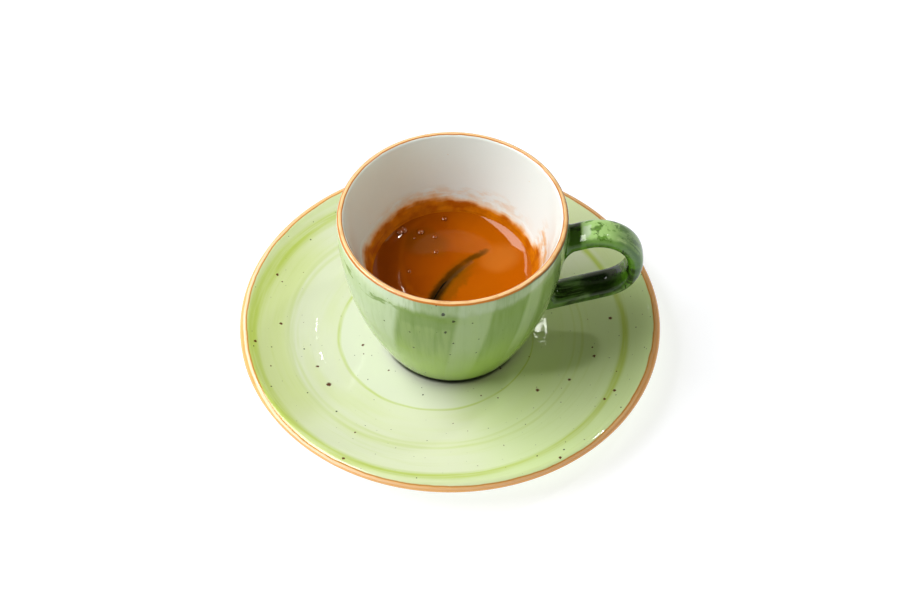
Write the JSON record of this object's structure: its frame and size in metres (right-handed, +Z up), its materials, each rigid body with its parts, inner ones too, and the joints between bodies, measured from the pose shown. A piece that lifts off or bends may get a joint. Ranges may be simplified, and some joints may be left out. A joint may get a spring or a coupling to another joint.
{
  "type": "espresso in cup and saucer",
  "caption": "Short espresso with crema in a hand-glazed green cup with a loop handle, standing on its matching saucer.",
  "frame": {"origin": "on the table, under the middle of the saucer's foot ring", "axes": "+Z up, +X towards the cup's handle, +Y towards the back, away from the side that is looked at"},
  "size_m": [0.12, 0.12, 0.0562],
  "materials": {
    "saucer_glaze": "glossy pale green glaze with brushed rings and an amber rim",
    "cup_glaze": "glossy brushed green glaze, white inside, amber rim",
    "coffee": "clear dark liquid, glossy",
    "crema": "fine wet foam, glossy"
  },
  "bodies": {
    "root": {"saucer": "saucer_glaze", "cup": "cup_glaze", "coffee": "coffee", "crema": "crema"}
  },
  "joints": []
}
